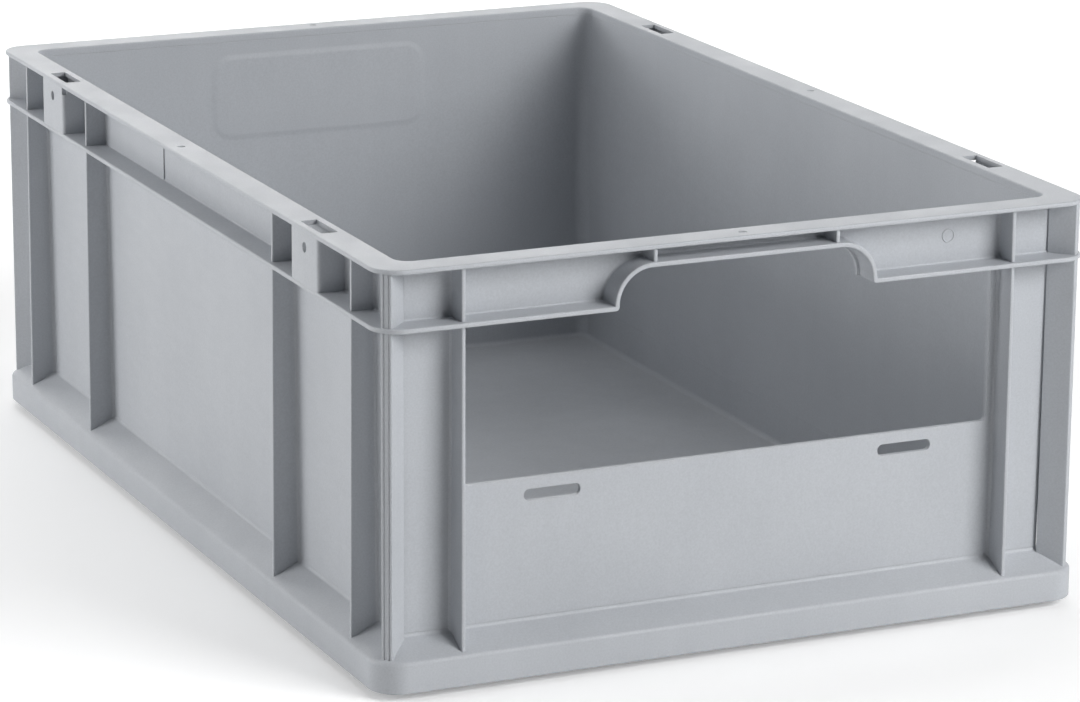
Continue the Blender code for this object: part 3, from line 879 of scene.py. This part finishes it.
def pocket_plan(low, high, sign, closed_behind):
    """Plan of a latch pocket: rounded face plate with a web to the wall at one or both ends."""
    outer = max(abs(low.x), abs(high.x)) - FACE_SETBACK
    inner = WALL_OUT_X - BURY
    skin = POCKET_SKIN
    corners = [(inner, low.y, 0), (outer, low.y, POCKET_EDGE)]
    if closed_behind:
        corners += [(outer, high.y, BOTTOM_EDGE), (inner, high.y, 0)]
        corners += [(inner, high.y - skin, 0), (outer - skin, high.y - skin, 0)]
    else:
        corners += [(outer, high.y, BOTTOM_EDGE), (outer - skin, high.y, BOTTOM_EDGE)]
    corners += [(outer - skin, low.y + skin, INNER_EDGE), (inner, low.y + skin, 0)]
    return [(sign * x, y) for x, y in fillet_outline(corners)]


def build_pockets():
    """Latch pockets with their pin holes; the rear ones have a nick at the top of one edge."""
    bottom, top = RAIL_MIDDLE, RIM_MIDDLE
    for node in nodes_named("latch_pocket"):
        low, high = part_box(node)
        sign = 1 if high.x > 0 else -1
        outline = pocket_plan(low, high, sign, "rear" in node)
        pocket = extrude("moulded_" + node, outline, bottom, top)
        centre = ((low.y + high.y) / 2, POCKET_HOLE_HEIGHT)
        circle = arc(centre, (POCKET_HOLE_RADIUS, POCKET_HOLE_RADIUS), 0, 360, HOLE_STEPS)[:-1]
        face = sign * (max(abs(low.x), abs(high.x)) - POCKET_SKIN / 2)
        cutters = [extrude("pin_hole", circle, face - POCKET_SKIN, face + POCKET_SKIN, "X")]
        if "rear" in node:
            left, right = sorted((face - sign * NICK[0], face + sign * OVERRUN))
            plan = [(left, low.y - OVERRUN), (right, low.y - OVERRUN)]
            plan += [(right, low.y + NICK[1]), (left, low.y + NICK[1])]
            cutters.append(extrude("nick", plan, RIM_BOTTOM - NICK[2], RIM_BOTTOM + OVERRUN))
        combine(pocket, cutters, "DIFFERENCE")
        present(pocket, node)


def build_webs():
    """Short webs that tie each grip arch to the rim."""
    for node in nodes_named("grip_web"):
        low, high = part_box(node)
        sign = 1 if high.y > 0 else -1
        origin = ((low.x + high.x) / 2, sign * WALL_OUT_Y)
        depth = max(abs(low.y), abs(high.y)) - WALL_OUT_Y
        plan = rib_plan(depth + WEB_FORWARD, RIB_HALF)
        heights = (ARCH_HIGH - BAND / 2, RIM_MIDDLE)
        upright("moulded_" + node, (plan, plan), origin, 90 * sign, heights, node)


def build_mould_mark():
    """Small plain ring on the picking side, as a generic mould mark."""
    rings = []
    for angle in range(0, 360, MARK_STEP):
        radius = MARK_RADIUS + MARK_TUBE * math.cos(math.radians(angle))
        depth = MARK_TUBE * MARK_FLATNESS * math.sin(math.radians(angle))
        circle = arc(MARK_PLACE, (radius, radius), 0, 360, 2 * HOLE_STEPS)[:-1]
        rings.append([(x, -WALL_OUT_Y + depth, z) for x, z in circle])
    present(loft("mould_mark", rings, True))


# ---------------------------------------------------------------- stage


def pale_floor():
    """Large plain floor, a little brighter to the camera than its light on the crate."""
    bpy.ops.mesh.primitive_plane_add(size=FLOOR_SIZE, location=(0, 0, 0))
    floor = bpy.context.active_object
    floor.name = "studio_floor"
    material = bpy.data.materials.new("studio_floor")
    material.use_nodes = True
    tree = material.node_tree
    shader = tree.nodes["Principled BSDF"]
    shader.inputs["Base Color"].default_value = FLOOR_TONE
    shader.inputs["Roughness"].default_value = FLOOR_ROUGHNESS
    shader.inputs["Specular IOR Level"].default_value = FLOOR_SPECULAR
    shader.inputs["Emission Color"].default_value = FLOOR_TONE
    seen = tree.nodes.new("ShaderNodeLightPath")
    lift = arithmetic(tree, "MULTIPLY")
    lift.inputs[1].default_value = FLOOR_LIFT
    link(tree, seen, "Is Camera Ray", lift, 0)
    link(tree, lift, "Value", shader, "Emission Strength")
    floor.data.materials.append(material)


def bearing(azimuth, elevation):
    """Unit vector away from the crate at an azimuth from the front and an elevation."""
    turn, height = math.radians(azimuth), math.radians(elevation)
    return Vector((
        math.sin(turn) * math.cos(height),
        -math.cos(turn) * math.cos(height),
        math.sin(height),
    ))


def softbox(name, azimuth, elevation, size, power):
    """Rectangular soft light at a bearing from the front and a height, aimed at the crate."""
    aim = Vector((0.0, 0.0, LIGHT_AIM_HEIGHT))
    away = bearing(azimuth, elevation)
    data = bpy.data.lights.new(name, "AREA")
    data.shape = "RECTANGLE"
    data.size, data.size_y = size
    data.energy = power
    lamp = bpy.data.objects.new(name, data)
    lamp.location = aim + away * LIGHT_DISTANCE
    lamp.rotation_euler = away.to_track_quat("Z", "Y").to_euler()
    bpy.context.scene.collection.objects.link(lamp)


def light_stage():
    """Soft lights all round, strongest from the front right and the left rear."""
    world = bpy.data.worlds.new("studio")
    world.use_nodes = True
    background = world.node_tree.nodes["Background"]
    background.inputs["Color"].default_value = (1.0, 1.0, 1.0, 1.0)
    background.inputs["Strength"].default_value = WORLD_STRENGTH
    bpy.context.scene.world = world
    for light in LIGHTS:
        softbox(*light)


def place_camera():
    """Camera on its orbit, turned a little about its own axis."""
    back = bearing(CAMERA_AZIMUTH, CAMERA_ELEVATION)
    azimuth = math.radians(CAMERA_AZIMUTH)
    right = Vector((math.cos(azimuth), math.sin(azimuth), 0.0))
    up = back.cross(right)
    roll = math.radians(CAMERA_ROLL)
    turned_right = right * math.cos(roll) + up * math.sin(roll)
    turned_up = up * math.cos(roll) - right * math.sin(roll)
    middle = (cad_low + cad_high) / 2
    place = middle + back * CAMERA_DISTANCE
    place += turned_right * CAMERA_SHIFT[0] + turned_up * CAMERA_SHIFT[1]
    data = bpy.data.cameras.new("view_camera")
    data.lens = CAMERA_LENS
    data.sensor_width = SENSOR_WIDTH
    camera = bpy.data.objects.new("view_camera", data)
    axes = Matrix((turned_right, turned_up, back)).transposed()
    camera.matrix_world = Matrix.Translation(place) @ axes.to_4x4()
    bpy.context.scene.collection.objects.link(camera)
    bpy.context.scene.camera = camera


bpy.context.scene.view_settings.view_transform = "Standard"
build_base()
build_walls()
build_label_fields()
build_rim()
build_rail()
build_ribs()
build_fins()
build_pockets()
build_webs()
build_mould_mark()
pale_floor()
light_stage()
place_camera()
